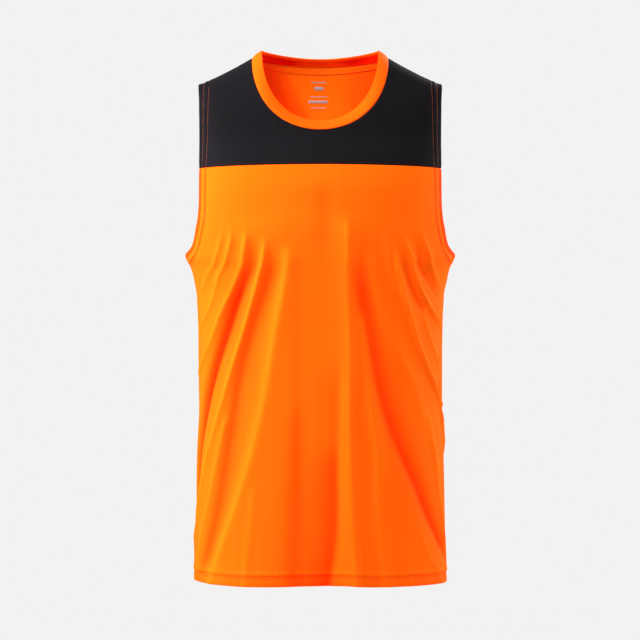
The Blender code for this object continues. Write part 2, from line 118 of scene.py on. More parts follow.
def squaredCosine(angle, squareness):
    return (np.cos(angle) - squareness * np.cos(3.0 * angle)) / (1.0 - squareness)


# Angle whose squared sine is the ratio, by Newton's steps on its plain sine.
def squaredArcsine(ratio, squareness):
    target = np.clip(ratio, -1.0, 1.0) * (1.0 - squareness)
    sine = np.array(target, dtype=float)
    for _ in range(12):
        value = sine * (1.0 + 3.0 * squareness) - 4.0 * squareness * sine ** 3
        slope = 1.0 + 3.0 * squareness - 12.0 * squareness * sine ** 2
        sine = np.clip(sine - (value - target) / slope, -1.0, 1.0)
    return np.arcsin(sine)


# One column of the body's sections at a height: half width, front depth, back depth or squareness.
def sectionAt(column, rise):
    return smoothCurve(sections[:, 0], sections[:, column], rise)


# Height of the shoulder seam at a distance from the middle.
def ridgeHeight(x):
    return smoothCurve(ridge[:, 0], ridge[:, 1], np.abs(x))


# Climb from the yoke seam to the top of the shoulder, the cloth for each radian of the bend there,
# and how squared off that bend is.
def shoulderBend(x):
    climb = ridgeHeight(x) - yokeHeight
    squareness = bodyShape["tipSquareness"] * np.abs(x / bodyShape["shoulderTip"]) ** 3
    return climb, climb * (1.0 + 3.0 * squareness) / (1.0 - squareness), squareness


# Squared ellipse at each height, and above the yoke seam bent over the shoulder by a second one.
def smoothForm(side, turn, rise):
    squareness = sectionAt(4, rise)
    depth = sectionAt(2 if side < 0 else 3, rise)
    x = sectionAt(1, rise) * squaredSine(turn, squareness)
    y = side * depth * squaredCosine(turn, squareness)
    climb, stretch, boxiness = shoulderBend(x)
    bend = np.maximum(rise - yokeHeight, 0.0) / stretch
    z = np.where(rise > yokeHeight, yokeHeight + climb * squaredSine(bend, boxiness), rise)
    return np.stack(np.broadcast_arrays(x, y * squaredCosine(bend, boxiness), z), axis=-1)


# Turn at which the form is a distance from the middle.
def turnAt(x, rise):
    return squaredArcsine(x / sectionAt(1, rise), sectionAt(4, rise))


# Turn and rise of the place that is seen at x and z from the front.
def placeAt(x, z):
    climb, stretch, boxiness = shoulderBend(x)
    overShoulder = yokeHeight + stretch * squaredArcsine((z - yokeHeight) / climb, boxiness)
    rise = np.where(z > yokeHeight, overShoulder, z)
    return turnAt(x, rise), rise


# How far a surface moves for each radian of turn and each millimetre of rise, from two small differences.
def surfaceSlopes(surface, side, turn, rise):
    across = (surface(side, turn + 0.002, rise) - surface(side, turn - 0.002, rise)) / 0.004
    along = (surface(side, turn, rise + 0.2) - surface(side, turn, rise - 0.2)) / 0.4
    return across, along


# Outward unit normal of a surface: the cross product of its two slopes.
def outward(surface, side, turn, rise):
    return unit(-side * np.cross(*surfaceSlopes(surface, side, turn, rise)))


# Running length along a line of points.
def lengthAlong(line):
    return np.concatenate(([0.0], np.cumsum(np.linalg.norm(np.diff(line, axis=0), axis=1))))


clothFolds = {
    # lift, width on the wearer's right, width on the wearer's left, softness of the crest, and the
    # places it runs through from its top down, each a turn in degrees from the centre front and a height
    "front": (
        (2.4, 3.0, 5.0, 1.6, ((-42.5, -244), (-44, -272), (-48, -292), (-58, -312), (-69, -332),
         (-90, -356))),
        (3.2, 3.5, 5.0, 1.6, ((-36.8, -244), (-38, -272), (-41, -292), (-48, -312), (-61, -359),
         (-78, -390), (-98, -430))),
        (4.2, 3.8, 6.0, 1.8, ((-29.9, -244), (-30.5, -272), (-32, -292), (-36, -312), (-48, -359),
         (-63, -413), (-76, -440), (-98, -480))),
        (-8.5, 7.0, 10.0, 8.0, ((-26, -250), (-28.3, -292), (-36.5, -332), (-45.5, -386), (-57, -440),
         (-69, -495), (-77, -545), (-83, -600), (-88, -680))),
        (4.8, 3.3, 8.0, 2.0, ((-21.8, -256), (-22.6, -288), (-25.7, -312), (-34.3, -386), (-45.7, -467),
         (-61, -562), (-76, -642), (-94, -700))),
        (-4.9, 5.5, 14.0, 9.0, ((-18, -256), (-19.5, -293), (-24, -333), (-30.5, -386), (-38, -467),
         (-44, -561), (-52, -643), (-62, -700), (-70, -735))),
        (4.6, 6.5, 16.0, 5.0, ((-11.8, -264), (-12.4, -293), (-15, -333), (-18.3, -386), (-22.7, -466),
         (-29.8, -560), (-39.8, -641), (-52, -717), (-64, -810))),
        (2.4, 4.0, 6.0, 2.0, ((-44, -495), (-47.3, -525), (-50.7, -561), (-61.8, -644), (-75, -710),
         (-90, -790))),
        (1.4, 5.0, 10.0, 3.0, ((-28, -590), (-29, -640), (-31, -690), (-33, -790))),
        (-1.3, 7.0, 15.0, 6.0, ((-8, -262), (-8.5, -479), (-9, -800))),
        (-1.8, 8.0, 10.0, 8.0, ((-82, -330), (-84, -500), (-79, -640), (-78, -840))),
        (-1.8, 9.0, 9.0, 8.0, ((-8.5, -480), (-8.5, -640), (-10, -800))),
        (-1.4, 6.0, 6.0, 8.0, ((1.5, -176), (2.5, -233), (2.2, -300))),
        (4.6, 13.0, 7.0, 1.8, ((10.4, -226), (10.8, -300), (12, -386), (12.2, -533), (13, -640),
         (14.6, -720), (15.5, -800))),
        (3.2, 4.5, 9.0, 3.0, ((17, -352), (18.8, -406), (21.5, -479), (24.2, -560), (24.4, -640),
         (27.4, -714), (30, -800))),
        (-2.2, 15.0, 6.0, 4.0, ((7.5, -420), (7, -516), (6.4, -560), (6.2, -639), (5.4, -679),
         (3.4, -722), (1.5, -830))),
        (-3.6, 17.0, 5.0, 2.5, ((7, -528), (6.4, -560), (6.2, -639), (5.4, -679), (3.4, -722),
         (1.5, -830))),
        (-6.2, 7.5, 10.0, 7.0, ((14.6, -262), (16.6, -313), (19.4, -359), (22.9, -413), (26.7, -466),
         (32.6, -520), (47, -601), (57, -643), (72, -682), (84, -715))),
        (1.8, 7.0, 9.0, 4.0, ((19, -280), (21.8, -313), (26.7, -359), (35, -413), (46.8, -467),
         (57, -530), (73, -604))),
        (1.8, 3.5, 4.5, 2.0, ((25.5, -250), (28, -292), (31, -312), (36, -350))),
        (5.8, 3.8, 4.5, 1.1, ((28, -266), (34.4, -312), (41.2, -359), (50, -413), (66.5, -468),
         (84, -505), (102, -580))),
        (-3.2, 3.5, 3.5, 4.0, ((34, -268), (40.5, -312), (51, -356), (64, -390))),
        (5.2, 3.3, 4.5, 1.1, ((33, -252), (43.4, -312), (49, -332), (60, -359), (78, -384),
         (96, -412))),
        (-3.0, 3.0, 3.0, 2.5, ((39, -252), (42.5, -278), (47, -303), (57, -324), (70, -345),
         (86, -364))),
        (4.4, 3.2, 5.5, 1.4, ((43, -244), (49, -283), (54.5, -303), (66, -324), (86, -348))),
        (3.0, 4.0, 5.0, 1.6, ((52, -346), (60, -400), (70, -427), (84, -480))),
        (3.0, 4.0, 5.0, 1.6, ((55, -486), (62, -562), (66, -604), (73, -650), (87, -720))),
        (1.2, 6.0, 8.0, 3.0, ((45, -640), (53, -686), (66, -719), (80, -770))),
        (0.8, 6.0, 8.0, 3.0, ((31, -610), (33.6, -667), (39, -722), (43, -800))),
    ),
    "sides": (
        (3.4, 5.0, 5.0, 12.0, ((86, -296), (94, -430), (98, -560))),
        (-3.0, 5.0, 5.0, 10.0, ((74, -400), (83, -550), (88, -700))),
        (3.2, 5.0, 5.0, 12.0, ((-88, -305), (-97, -450), (-102, -600))),
        (-3.0, 6.0, 6.0, 12.0, ((-103, -460), (-101, -650), (-100, -830))),
    ),
    "back": (
        (-5.0, 4.5, 4.5, 9.0, ((122, -250), (116, -385), (104, -520))),
        (5.0, 9.0, 5.0, 2.5, ((130, -240), (125, -450), (112, -660))),
        (-4.8, 5.5, 5.5, 11.0, ((141, -280), (134, -540), (122, -800))),
        (4.6, 11.0, 6.5, 3.0, ((150, -250), (146, -565), (138, -860))),
        (-3.0, 7.0, 7.0, 15.0, ((163, -350), (160, -600), (157, -860))),
        (4.0, 11.0, 7.0, 3.5, ((177, -290), (175, -600), (174, -860))),
        (-3.6, 6.0, 6.0, 12.0, ((190, -380), (192, -630), (194, -860))),
        (4.8, 11.0, 6.0, 3.0, ((203, -250), (204, -560), (212, -860))),
        (-5.4, 5.0, 5.0, 10.0, ((214, -270), (221, -495), (236, -720))),
        (4.4, 8.0, 5.0, 2.5, ((224, -240), (233, -420), (250, -600))),
        (-3.0, 4.0, 4.0, 9.0, ((237, -260), (244, -365), (258, -470))),
        (1.6, 5.0, 6.0, 2.5, ((156, -420), (153, -560), (149, -700))),
        (1.4, 5.0, 6.0, 2.5, ((184, -520), (185, -640), (188, -800))),
        (1.6, 5.0, 6.0, 2.5, ((214, -300), (226, -400), (243, -520))),
    ),
    "ridgeFade": (4.0, 16.0),   # height over which a ridge dies out at its top: for each mm of lift, and more
    "troughFade": (8.0, 30.0),
    "backFade": (12.0, 44.0),   # the same for every fold of the back
    "lowFade": 46.0,
    "spread": (0.7, 1.25),  # share of its width that a fold has at its top and at its low end
    "sideSeam": (0.55, 16.0),    # share of the lift left at the side seam, degrees over which it drops
    "perDegree": 2.9,       # millimetres of cloth for each degree of turn
    "fullShadeLift": 9.0,       # lift at which the painted highlight of a crest or painted shade of a hollow is full
    # lift, width above and below, height, half turn, sag at its ends: the break below the chest
    "chestBreak": (0.9, 15.0, 24.0, -243.0, 50.0, 18.0),
    "yokeSag": (3.0, 70.0),     # how far the yoke seam hangs at its ends, height over which that dies out
}


# Degrees round from the centre front, for the front and the back alike.
def roundFromFront(side, turn):
    degrees = np.degrees(turn)
    return degrees if side < 0 else np.where(degrees > 0.0, 180.0 - degrees, -180.0 - degrees)


# Sum of the folds: each falls away from its track as the exponential of minus the rounded distance
# over its width, widens on its way down, and fades out at its ends and towards the side seams.
def foldLift(side, turn, rise):
    degrees = roundFromFront(side, turn)
    lift = np.zeros(np.broadcast(turn, rise).shape)
    narrow, wide = clothFolds["spread"]
    for part in ("front", "sides", "back"):
        for height, rightWidth, leftWidth, softness, track in clothFolds[part]:
            turns, heights = np.array(track[::-1], dtype=float).T
            away = degrees - smoothCurve(heights, turns, rise, flowing=True)
            away = ((away + 180.0) % 360.0 - 180.0) * clothFolds["perDegree"]
            down = np.clip((heights[-1] - rise) / (heights[-1] - heights[0]), 0.0, 1.0)
            width = np.where(away < 0.0, rightWidth, leftWidth) * (narrow + (wide - narrow) * down)
            fall = np.exp((softness - np.sqrt(away ** 2 + softness ** 2)) / width)
            fade = "backFade" if part == "back" else "ridgeFade" if height > 0.0 else "troughFade"
            share, least = clothFolds[fade]
            topEnd = ease((heights[-1] - rise) / (share * abs(height) + least))
            lift = lift + height * fall * topEnd * ease((rise - heights[0]) / clothFolds["lowFade"])
    left, reach = clothFolds["sideSeam"]
    lift = lift * (left + (1.0 - left) * ease(np.abs(np.abs(degrees) - 90.0) / reach))
    height, above, below, level, halfTurn, sag = clothFolds["chestBreak"]
    across = np.clip(np.abs(degrees) / halfTurn, 0.0, 1.0)
    drop = rise - level + sag * across ** 2
    fall = np.exp(-(drop / np.where(drop > 0.0, above, below)) ** 2)
    return lift + height * fall * ease((1.0 - across) / 0.5)


hemShape = {
    # degrees round from the centre front, how far the bottom edge hangs below its level
    "waves": ((-180, 0.0), (-135, -1.0), (-90, -1.0), (-60, -1.0), (-32, 0.5), (-16, -0.2), (-5, -1.4),
              (8, -2.0), (22, 0.2), (33, 0.3), (60, 0.8), (90, 2.0), (135, 1.0), (180, 0.0)),
    "reach": 130.0,     # height over which a wave dies out
    "fold": 16.0,       # depth of the turned hem
    "stitchLines": (9.8, 12.8),
    "groove": 0.6,
}


# The form with its folds, and its bottom edge let down or drawn up by the hem's waves.
def clothSurface(side, turn, rise):
    points = smoothForm(side, turn, rise)
    points = points + foldLift(side, turn, rise)[..., None] * outward(smoothForm, side, turn, rise)
    degrees = roundFromFront(side, turn)
    places, drops = np.array(hemShape["waves"], dtype=float).T
    fade = ease(1.0 - (rise - bodyShape["hem"]) / hemShape["reach"])
    points[..., 2] = points[..., 2] - smoothCurve(places, drops, degrees) * fade
    if side < 0:
        sag, reach = clothFolds["yokeSag"]
        across = np.abs(points[..., 0]) / bodyShape["shoulderTip"]
        points[..., 2] = points[..., 2] - sag * across ** 2 * ease(1.0 - np.abs(rise - yokeHeight) / reach)
    return points


# Points on the cloth's outer face, or a distance inside it, and the normals there.
def onCloth(side, turn, rise, inset=0.0):
    normals = outward(clothSurface, side, turn, rise)
    return clothSurface(side, turn, rise) - normals * inset, normals


# Places along a path that stand at the given shares of its length.
def placesAlong(path, side, start, stop, shares):
    dense = np.linspace(start, stop, 900)
    length = lengthAlong(smoothForm(side, *path(dense)))
    return np.interp(shares * length[-1], length, dense)


# Turn and rise at those places.
def alongPath(path, side, start, stop, shares):
    return path(placesAlong(path, side, start, stop, shares))


# Edge of the armhole from the underarm, place 0, to the shoulder, place 1. Its height goes by the cosine
# of half a turn, so that places stand closer together at both ends.
def armholePath(place):
    low, high = armhole[0, 0], armhole[-1, 0]
    z = (low + high) / 2.0 - (high - low) / 2.0 * np.cos(math.pi * place)
    return placeAt(smoothCurve(armhole[:, 0], armhole[:, 1], z), z)


# Place on the armhole's edge at a height, by the arc cosine.
def armholePlace(z):
    low, high = armhole[0, 0], armhole[-1, 0]
    return math.acos((low + high - 2.0 * z) / (high - low)) / math.pi


# Shoulder seam at a distance from the middle, a quarter turn up the bend over the shoulder.
def shoulderPath(x):
    rise = yokeHeight + shoulderBend(x)[1] * quarterTurn
    return turnAt(x, rise), rise


# Half of a line round the neck seen from the front: a squared ellipse, flattened behind.
def neckRound(side, angle, halfWidth, sideHeight, centreHeight):
    dip = np.clip(squaredCosine(angle, bodyShape["neckSquareness"]), 0.0, 1.0)
    if side > 0:
        dip = dip ** bodyShape["backNeckDip"]
    x = halfWidth * squaredSine(angle, bodyShape["neckSquareness"])
    return x, sideHeight + (centreHeight - sideHeight) * dip


# Neck seam on one side of the jersey, as a path by the angle round the neck.
def neckPath(side):
    centreHeight = bodyShape["frontNeck"] if side < 0 else bodyShape["backNeck"]
    halfWidth = bodyShape["neckHalfWidth"]
    return lambda angle: placeAt(*neckRound(side, angle, halfWidth, ridgeHeight(halfWidth), centreHeight))


# Distances from an edge: three short steps for its rounding, a band of fine ones, and then each step
# longer than the last by the same share, up to the coarse one.
def growingSteps(length, band, fine, coarse):
    steps = [0.3, 0.5, 0.7] + [fine] * int(band / fine)
    while sum(steps) < length:
        steps.append(min(steps[-1] * 1.18, coarse))
    return np.cumsum([0.0] + steps)


# Shares from 0 to 1 that stand close together near both ends, wider towards the middle.
def spacedShares(length, band, fine, coarse, corners=()):
    near = growingSteps(length / 2.0, band, fine, coarse)
    near = near[near < length / 2.0 - coarse / 2.0] / length
    shares = np.concatenate((near, [0.5], 1.0 - near[::-1]))
    for corner in corners:
        shares[np.abs(shares - corner).argmin()] = corner
    return shares


# Shares that stand close together only at the low end or only at the high end.
def endShares(length, band, fine, coarse, closeLow):
    near = growingSteps(length, band, fine, coarse)
    shares = near / near[-1]
    return shares if closeLow else 1.0 - shares[::-1]


panelCut = {
    "band": 15.0,       # width beside an edge where the grid is fine
    "fine": 0.95,
    "coarse": 3.3,
    "armholeBand": 3.0,     # the same at the ends of the armhole, and above the hem with its own fine step
    "hemBand": (18.0, 0.8),
    "cloth": 0.7,       # thickness of the knit
    "turned": 1.5,      # thickness where it is folded under
    "armholeFold": 17.0,
    "stitchLines": (7.6, 15.4),
    "groove": 0.5,
    "shadeTints": (0.6, 0.6, 0.2),   # painted shade, as fold depth taken off, on the armhole's edge, its inner line and the hem
}


# Level edge of a panel, from a turn on the wearer's right to the same turn on the left.
def levelEdge(side, height, halfTurn, shares):
    return alongPath(lambda turn: (turn, np.full(np.shape(turn), height)), side, -halfTurn, halfTurn, shares)


# Top edge of a panel: shoulder seam, neck seam, shoulder seam. The corner share is where the neck starts.
def topEdge(side, shares, corner):
    tip, neck = bodyShape["shoulderTip"], bodyShape["neckHalfWidth"]
    turn, rise = alongPath(shoulderPath, side, tip, neck, shares[shares < corner] / corner)
    inner = (shares[(shares >= corner) & (shares <= 1.0 - corner)] - corner) / (1.0 - 2.0 * corner)
    neckTurn, neckRise = alongPath(neckPath(side), side, -neckEnd, neckEnd, inner)
    return np.concatenate((-turn, neckTurn, turn[::-1])), np.concatenate((rise, neckRise, rise[::-1]))


# Side edge of a panel from the bottom up: the side seam, where it has one, and the armhole above.
def sideEdge(lowPlace, highPlace, withSeam):
    length = lengthAlong(smoothForm(-1, *armholePath(np.linspace(lowPlace, highPlace, 400))))[-1]
    band, fine, coarse = panelCut["armholeBand"], panelCut["fine"], panelCut["coarse"]
    if withSeam:
        shares = endShares(length, band, fine, coarse, False)
    else:
        shares = spacedShares(length, band, fine, coarse)
    turn, rise = alongPath(armholePath, -1, lowPlace, highPlace, shares)
    if withSeam:
        height = bodyShape["underarm"] - bodyShape["hem"]
        seam = bodyShape["hem"] + height * endShares(height, *panelCut["hemBand"], coarse, True)
        turn = np.concatenate((np.full(len(seam), quarterTurn), turn[1:]))
        rise = np.concatenate((seam, rise[1:]))
    return turn, rise


# Panel between a bottom and a top edge: straight shares between them, drawn to the side edges near
# them by the cube of the share across. Gives the grids of turn and of rise.
def panelGrid(bottom, top, edge, shares):
    length = lengthAlong(smoothForm(-1, *edge))
    climb = (length / length[-1])[:, None]
    grids = []
    for low, high, left, right in zip(bottom, top, (-edge[0], edge[1]), edge):
        grid = low * (1.0 - climb) + high * climb
        toLeft, toRight = left[:, None] - grid[:, :1], right[:, None] - grid[:, -1:]
        grids.append(grid + toLeft * (1.0 - shares) ** 3 + toRight * shares ** 3)
    return grids


# Running length along one axis of a grid of points.
def runningLength(points, axis):
    strides = np.linalg.norm(np.diff(points, axis=axis), axis=-1)
    pad = [(0, 0), (0, 0)]
    pad[axis] = (1, 0)
    return np.pad(np.cumsum(strides, axis=axis), pad)


# Distance from each point to a line of points, and how far along the line the nearest one is.
def distanceTo(points, line):
    along = lengthAlong(line)
    distance, place = [], []
    for part in np.array_split(points.reshape(-1, 3), 24):
        gaps = np.linalg.norm(part[:, None, :] - line[None, :, :], axis=2)
        distance.append(gaps.min(axis=1))
        place.append(along[gaps.argmin(axis=1)])
    return np.concatenate(distance).reshape(points.shape[:2]), np.concatenate(place).reshape(points.shape[:2])


# Uneven ripple along a seam, from four sine waves that never fall in step.
def ripple(along, phase):
    waves = ((9.3, 0.0, 0.4), (13.7, 1.7, 0.3), (6.1, 4.1, 0.18), (31.0, 2.6, 0.34))
    return sum(share * np.sin(along * 2.0 * math.pi / wave + offset + phase) for wave, offset, share in waves)


# Narrow valley beside a line at a distance.
def valley(distance, at, width):
    return np.exp(-((distance - at) / width) ** 2)


# Rows of stitches as lines for sewnRelief: a groove at each place, its depth rippled by a share.
def stitchRows(places, groove, rippled, width):
    return [(-groove, -groove * rippled, at, at, width) for at in places]


# Lines beside an edge: each is a valley, or a roll, that lifts by an even part and a rippled part.
def sewnRelief(fromEdge, along, lines):
    return sum((even + rippled * ripple(along, phase)) * valley(fromEdge, at, width)
               for even, rippled, phase, at, width in lines)


sewnEdges = {
    # depth and reach of the dip at the seam itself, where the ripple starts on the back, and the lines
    # beside it: even lift, rippled lift, phase of the ripple, distance from the edge and width
    "hem": (0.0, 1.0, 900.0, stitchRows(hemShape["stitchLines"], hemShape["groove"], 0.45, 1.5)
            + [(0.55, 0.22, 5.0, 17.5, 2.8)]),
    "yokeTop": (0.55, 1.2, 0.0, [(0.0, 0.18, 2.0, 3.0, 3.5)]),      # top edge of the front
    "yokeBottom": (0.55, 1.2, 0.0, [(-0.2, 0.0, 0.0, 2.6, 0.7), (0.0, 0.12, 2.5, 4.5, 3.0)]),
    "top": (0.5, 1.0, 0.0, [(-0.25, 0.0, 0.0, 3.0, 0.7), (0.0, 0.14, 3.0, 5.0, 3.5)]),  # shoulders and neck
    "side": (0.5, 1.1, 0.0, [(-0.3, 0.0, 0.0, 6.0, 2.0)]),
}


# Relief beside one of these edges.
def edgeRelief(edge, side, fromEdge, along):
    dip, reach, start, lines = sewnEdges[edge]
    return sewnRelief(fromEdge, along + start * (side > 0), lines) - dip * np.exp(-fromEdge / reach)


# Unit normals of a grid of points, from the differences between neighbours.
def gridNormals(points, side):
    across, along = np.gradient(points, axis=1), np.gradient(points, axis=0)
    return unit(-side * np.cross(across, along))


# Half thickness that grows from an edge inwards by a quarter circle, and is never under the least.
def roundedHalf(fromEdge, half, least):
    return np.maximum(half * np.sqrt(1.0 - (1.0 - np.clip(fromEdge / half, 0.0, 1.0)) ** 2), least)


# Both faces of a panel: the cloth surface, with its sewn lines pressed in, its edges rolled round
# # and its folded-under edges thicker. Also gives its own flat coordinates and its painted shade: from
# # the fold depth, darker in hollows and lighter on crests, and darker at the armhole's edge, along its
# # inner stitch line and over the hem.
def panelFaces(side, turn, rise, sewn):
    points = clothSurface(side, turn, rise)
    normals = gridNormals(points, side)
    fromLeft, fromBottom = runningLength(points, 1), runningLength(points, 0)
    fromTop = fromBottom[-1:] - fromBottom
    fromSide = np.minimum(fromLeft, fromLeft[:, -1:] - fromLeft)
    armGap, armAlong = np.full(turn.shape, 1e3), np.zeros(turn.shape)
    edgeTurn, edgeRise = armholePath(np.linspace(0.0, 1.0, 420))
    for hand in (-1.0, 1.0):
        gap, along = distanceTo(points, clothSurface(side, hand * edgeTurn, edgeRise))
        armAlong = np.where(gap < armGap, along, armAlong)
        armGap = np.minimum(gap, armGap)
    outer, inner = panelCut["stitchLines"]
    lines = stitchRows((outer, inner), panelCut["groove"], 0.5, 0.9)
    lines += [(0.3, 0.0, 0.0, (inner + outer) / 2.0, 2.2), (0.0, 0.22, side, inner + 3.5, 3.0)]
    relief = sewnRelief(armGap, armAlong, lines)
    for edge in sewn:
        relief += edgeRelief(edge, side, fromTop if edge in ("top", "yokeTop") else fromBottom, fromLeft)
    turned = ease(panelCut["armholeFold"] + 0.5 - armGap)
    overHem = np.zeros(turn.shape)
    if "hem" in sewn:    # the yoke has neither a hem nor side seams
        overHem = ease((hemShape["fold"] + 0.4 - fromBottom) / 0.8)
        atSide = rise < bodyShape["underarm"] + 1.0
        relief += np.where(atSide, edgeRelief("side", side, fromSide, fromLeft), 0.0)
    relief = np.where(np.abs(np.abs(turn) - quarterTurn) < 1e-9, np.minimum(relief, 0.0), relief)
    wall = panelCut["cloth"] + (panelCut["turned"] - panelCut["cloth"]) * np.maximum(turned, overHem)
    half = roundedHalf(np.minimum(fromSide, np.minimum(fromBottom, fromTop)), wall / 2.0, 0.07)
    onSeam = np.abs(smoothForm(side, turn, rise)[..., 1]) < 0.01
    points[..., 1] = np.where(onSeam, side * bodyShape["seamGap"] / 2.0, points[..., 1])
    normals[..., 1] = np.where(onSeam, 0.0, normals[..., 1])
    normals = unit(normals)
    middle = points + normals * (relief - wall / 2.0)[..., None]
    flat = np.stack((fromLeft - fromLeft[:, -1:] / 2.0, rise), axis=-1)
    # Painted shade: fold lift as a share, lowered at the armhole's edge, along its inner stitch line and over
    # the hem
    depth = np.clip(foldLift(side, turn, rise) / clothFolds["fullShadeLift"], -1.0, 1.0)
    edgeShade, lineShade, hemShade = panelCut["shadeTints"]
    depth = depth - edgeShade * ease((outer + 1.0 - armGap) / 4.0) - lineShade * valley(armGap, inner, 1.8)
    depth = depth - hemShade * overHem
    return middle + normals * half[..., None], middle - normals * half[..., None], flat, depth


# A mesh from points in millimetres and four-cornered faces, with its flat coordinates and painted shade.
def addMesh(name, points, quads, flat=None, depth=None):
    mesh = bpy.data.meshes.new(name)
    quads = np.asarray(quads, dtype=np.int32)
    mesh.vertices.add(len(points))
    mesh.vertices.foreach_set("co", (np.asarray(points) * 0.001).astype(np.float32).ravel())
    mesh.loops.add(quads.size)
    mesh.loops.foreach_set("vertex_index", quads.ravel())
    mesh.polygons.add(len(quads))
    mesh.polygons.foreach_set("loop_start", np.arange(0, quads.size, 4, dtype=np.int32))
    mesh.update(calc_edges=True)
    if flat is not None:
        layer = mesh.uv_layers.new(name="cut")
        layer.data.foreach_set("uv", (flat[quads.ravel()] * 0.001).astype(np.float32).ravel())
    if depth is not None:
        mesh.attributes.new("paintedShade", "FLOAT", "POINT").data.foreach_set("value", depth.astype(np.float32))
    mesh.validate()
    mesh.shade_smooth()
    piece = bpy.data.objects.new(name, mesh)
    bpy.context.scene.collection.objects.link(piece)
    return piece


# Faces of a closed wall whose points are an outer and then an inner grid: both grids, and the rim.
def wallFaces(rows, columns):
    count = rows * columns
    index = np.arange(count).reshape(rows, columns)
    quads = np.stack((index[:-1, :-1], index[:-1, 1:], index[1:, 1:], index[1:, :-1]), axis=-1).reshape(-1, 4)
    rim = np.concatenate((index[0, :-1], index[:-1, -1], index[-1, :0:-1], index[:0:-1, 0]))
    ahead = np.roll(rim, -1)
    edge = np.stack((ahead, rim, rim + count, ahead + count), axis=-1)
    return np.concatenate((quads, quads[:, ::-1] + count, edge))


# Closed wall from its outer and inner grid. Its volume, the sum of the triple products of its faces'
# corners, shows whether the faces must be turned to point outwards.
def closedWall(name, outer, inner, flat, depth, innerPaintedShade=None):
    faces = wallFaces(*outer.shape[:2])
    points = np.concatenate((outer.reshape(-1, 3), inner.reshape(-1, 3)))
    first, second, third, fourth = (points[faces[:, corner]] for corner in range(4))
    area = np.cross(second - first, third - first) + np.cross(third - first, fourth - first)
    if (area * first).sum() < 0.0:
        faces = faces[:, ::-1]
    flats = np.tile(flat.reshape(-1, 2), (2, 1))
    paintedShades = np.concatenate((depth.ravel(), (depth if innerPaintedShade is None else innerPaintedShade).ravel()))
    return addMesh(name, points, faces, flats, paintedShades)


# Moves a path sideways over the cloth by a distance, square to itself, in short steps.
def insetPath(side, turn, rise, distance, steps=4):
    turn, rise = np.array(turn, float), np.array(rise, float)
    for _ in range(steps):
        across, along = surfaceSlopes(clothSurface, side, turn, rise)
        ahead = unit(np.gradient(clothSurface(side, turn, rise), axis=0))
        inward = np.cross(unit(-side * np.cross(across, along)), ahead)
        a, b, c = (across * across).sum(-1), (across * along).sum(-1), (along * along).sum(-1)
        p, q = (across * inward).sum(-1), (along * inward).sum(-1)
        stride = distance / steps / (a * c - b * b)
        turn, rise = turn + stride * (c * p - b * q), rise + stride * (a * q - b * p)
    return turn, rise


# A small closed bead of thread: six-sided rings along it, thin and sunk at both ends.
def stitchShape(length, radius, sink):
    stations = np.array([-0.5, -0.38, -0.15, 0.15, 0.38, 0.5])
    girth = np.array([0.25, 0.85, 1.0, 1.0, 0.85, 0.25]) * radius
    height = (1.0 - (2.0 * stations) ** 2) * radius * 0.9 - sink
    angle = np.arange(6) * math.pi / 3.0
    shape = np.zeros((6, 6, 3))
    shape[..., 0] = stations[:, None] * length
    shape[..., 1] = girth[:, None] * np.cos(angle)
    shape[..., 2] = girth[:, None] * np.sin(angle) + height[:, None]
    index = np.arange(36).reshape(6, 6)
    ahead = np.roll(index, -1, axis=1)
    quads = np.stack((index[:-1], ahead[:-1], ahead[1:], index[1:]), axis=-1).reshape(-1, 4)
    caps = np.array(((3, 2, 1, 0), (5, 4, 3, 0), (30, 31, 32, 33), (30, 33, 34, 35)))
    return shape.reshape(-1, 3), np.concatenate((quads[:, ::-1], caps))


# Points at some lengths along a line.
def pointsAt(places, along, line):
    return np.stack([np.interp(places, along, line[:, axis]) for axis in range(3)], axis=-1)


# Stitches in a row along each line of points, set on its normals.
def addStitches(name, lines, pitch, length, radius, sink):
    shape, quads = stitchShape(length, radius, sink)
    points, faces = [], []
    for line, normals in lines:
        along = lengthAlong(line)
        centres = np.arange(pitch / 2.0, along[-1], pitch)
        up = unit(pointsAt(centres, along, normals))
        forward = unit(pointsAt(centres + 0.5, along, line) - pointsAt(centres - 0.5, along, line))
        axes = np.stack((forward, unit(np.cross(up, forward)), up), axis=1)
        made = pointsAt(centres, along, line)[:, None, :] + np.einsum("pk,skx->spx", shape, axes)
        start = sum(len(part) for part in points) + np.arange(len(centres)) * len(shape)
        faces.append((quads[None] + start[:, None, None]).reshape(-1, 4))
        points.append(made.reshape(-1, 3))
    return addMesh(name, np.concatenate(points), np.concatenate(faces))


# New node with its settings, its input values and its links from other nodes' outputs.
def addNode(tree, kind, values=None, **settings):
    made = tree.nodes.new("ShaderNode" + kind)
    for name, value in settings.items():
        setattr(made, name, value)
    for name, value in (values or {}).items():
        if isinstance(value, bpy.types.NodeSocket):
            tree.links.new(value, made.inputs[name])
        else:
            made.inputs[name].default_value = value
    return made


knitFinish = {
    "walesApart": 0.0011,      # metres between the upright ribs of the knit
    "coursesApart": 0.0009,
    "reliefHeight": 0.00012,
    "reliefStrength": 0.35,
    "roughness": 0.6,
    # colour of the inside (painted light), of a crest (painted highlight), of level cloth and of a
    #     # hollow (painted shade), and how strong the streaks are
    "band": {"inside": (1.0, 0.12, 0.003), "crest": (1.0, 0.1, 0.003), "middle": (1.0, 0.08, 0.002),
             "hollow": (0.75, 0.006, 0.001), "specular": 0.02, "sheen": 0.02, "tint": (1.0, 0.32, 0.04),
             "streaks": 0.03},
    "orange": {"inside": (1.0, 0.17, 0.004), "crest": (1.0, 0.122, 0.003), "middle": (1.0, 0.1, 0.0025),
               "hollow": (1.0, 0.014, 0.0006), "specular": 0.01, "sheen": 0.03, "tint": (1.0, 0.32, 0.04),
               "streaks": 0.055},
    "black": {"inside": (0.0066, 0.0057, 0.0067), "crest": (0.0066, 0.0057, 0.0067),
              "middle": (0.0061, 0.0052, 0.0062), "hollow": (0.004, 0.0035, 0.0043), "specular": 0.012,
              "sheen": 0.01, "tint": (0.8, 0.8, 1.0), "streaks": 0.06},
}


